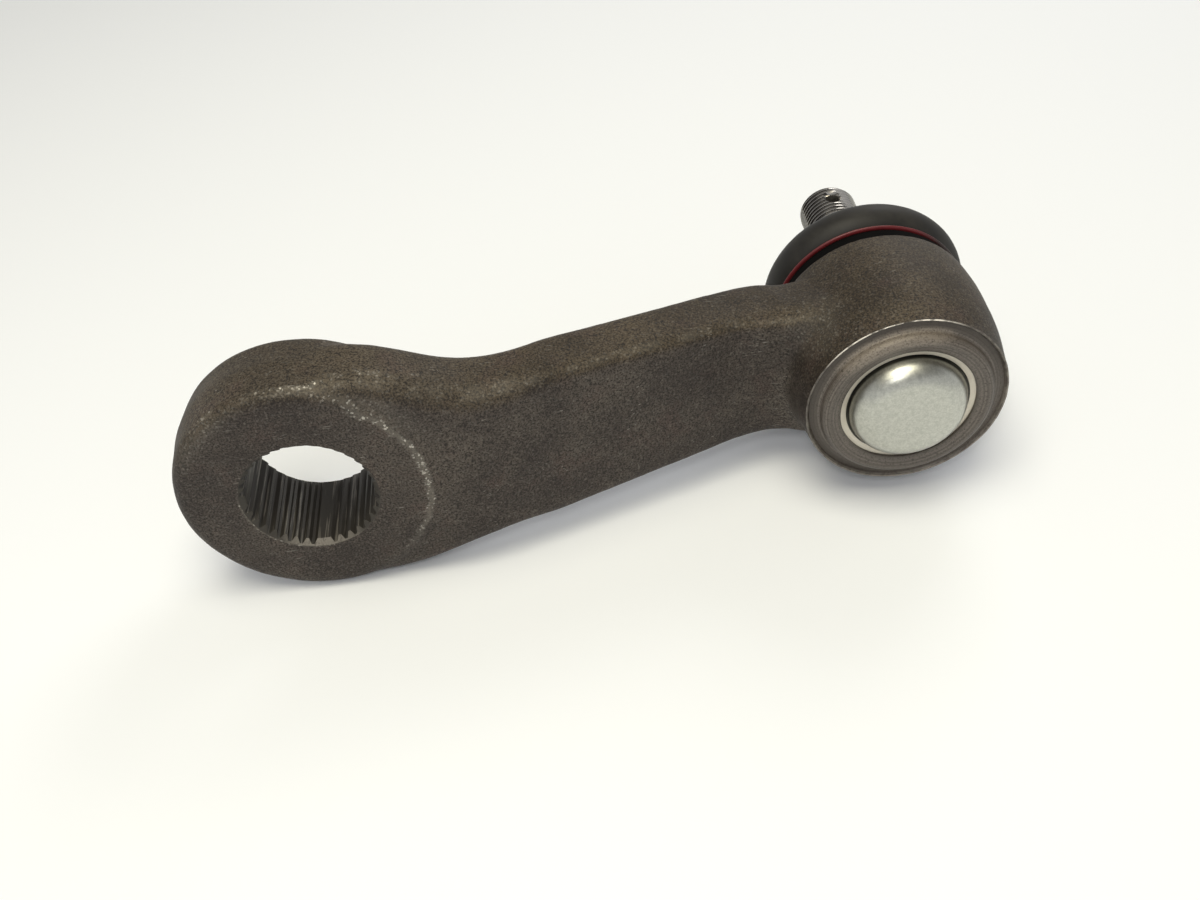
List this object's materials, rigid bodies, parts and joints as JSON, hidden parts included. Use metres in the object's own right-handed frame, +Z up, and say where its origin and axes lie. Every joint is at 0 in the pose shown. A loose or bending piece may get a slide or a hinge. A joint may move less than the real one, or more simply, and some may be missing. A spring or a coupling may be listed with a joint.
{
  "type": "pitman arm",
  "caption": "Forged steering arm with a serrated eye at one end and a sealed ball joint with a tapered, threaded stud at the other.",
  "frame": {"origin": "centre of the splined eye, on the bore axis at mid thickness", "axes": "+X from the bore axis to the stud axis, +Y along the bore towards the stud's threaded end, +Z up with the arm standing on its long edge"},
  "size_m": [0.2001, 0.0966, 0.0634],
  "materials": {
    "forged_steel": "shot-blasted forging scale with machined faces",
    "stud_steel": "turned and rolled bright steel",
    "seat_polymer": "moulded",
    "spring_steel": "oiled",
    "zinc_plate": "pale zinc plating",
    "boot_rubber": "satin",
    "red_ring": "satin",
    "ring_wire": "plain wire"
  },
  "bodies": {
    "arm": {"arm_forging": "forged_steel", "upper_seat": "seat_polymer", "preload_spring": "spring_steel", "end_cap": "zinc_plate", "dust_boot": "boot_rubber", "boot_base_ring": "red_ring"},
    "seat": {"pressure_seat": "seat_polymer"},
    "boot_lip": {"boot_top_ring": "ring_wire"},
    "stud": {"ball_stud": "stud_steel"}
  },
  "joints": [
    {"name": "seat_swivel", "type": "hinge", "parent": "arm", "child": "seat", "pos_m": [0.142, 0.016, 0], "axis": [0, 1, 0], "continuous": true},
    {"name": "stud_tilt", "type": "hinge", "parent": "seat", "child": "boot_lip", "pos_m": [0.142, 0.016, 0], "axis": [1, 0, 0], "range_deg": [-18, 18], "deforming": ["dust_boot"]},
    {"name": "stud_spin", "type": "hinge", "parent": "boot_lip", "child": "stud", "pos_m": [0.142, 0.016, 0], "axis": [0, 1, 0], "continuous": true}
  ]
}
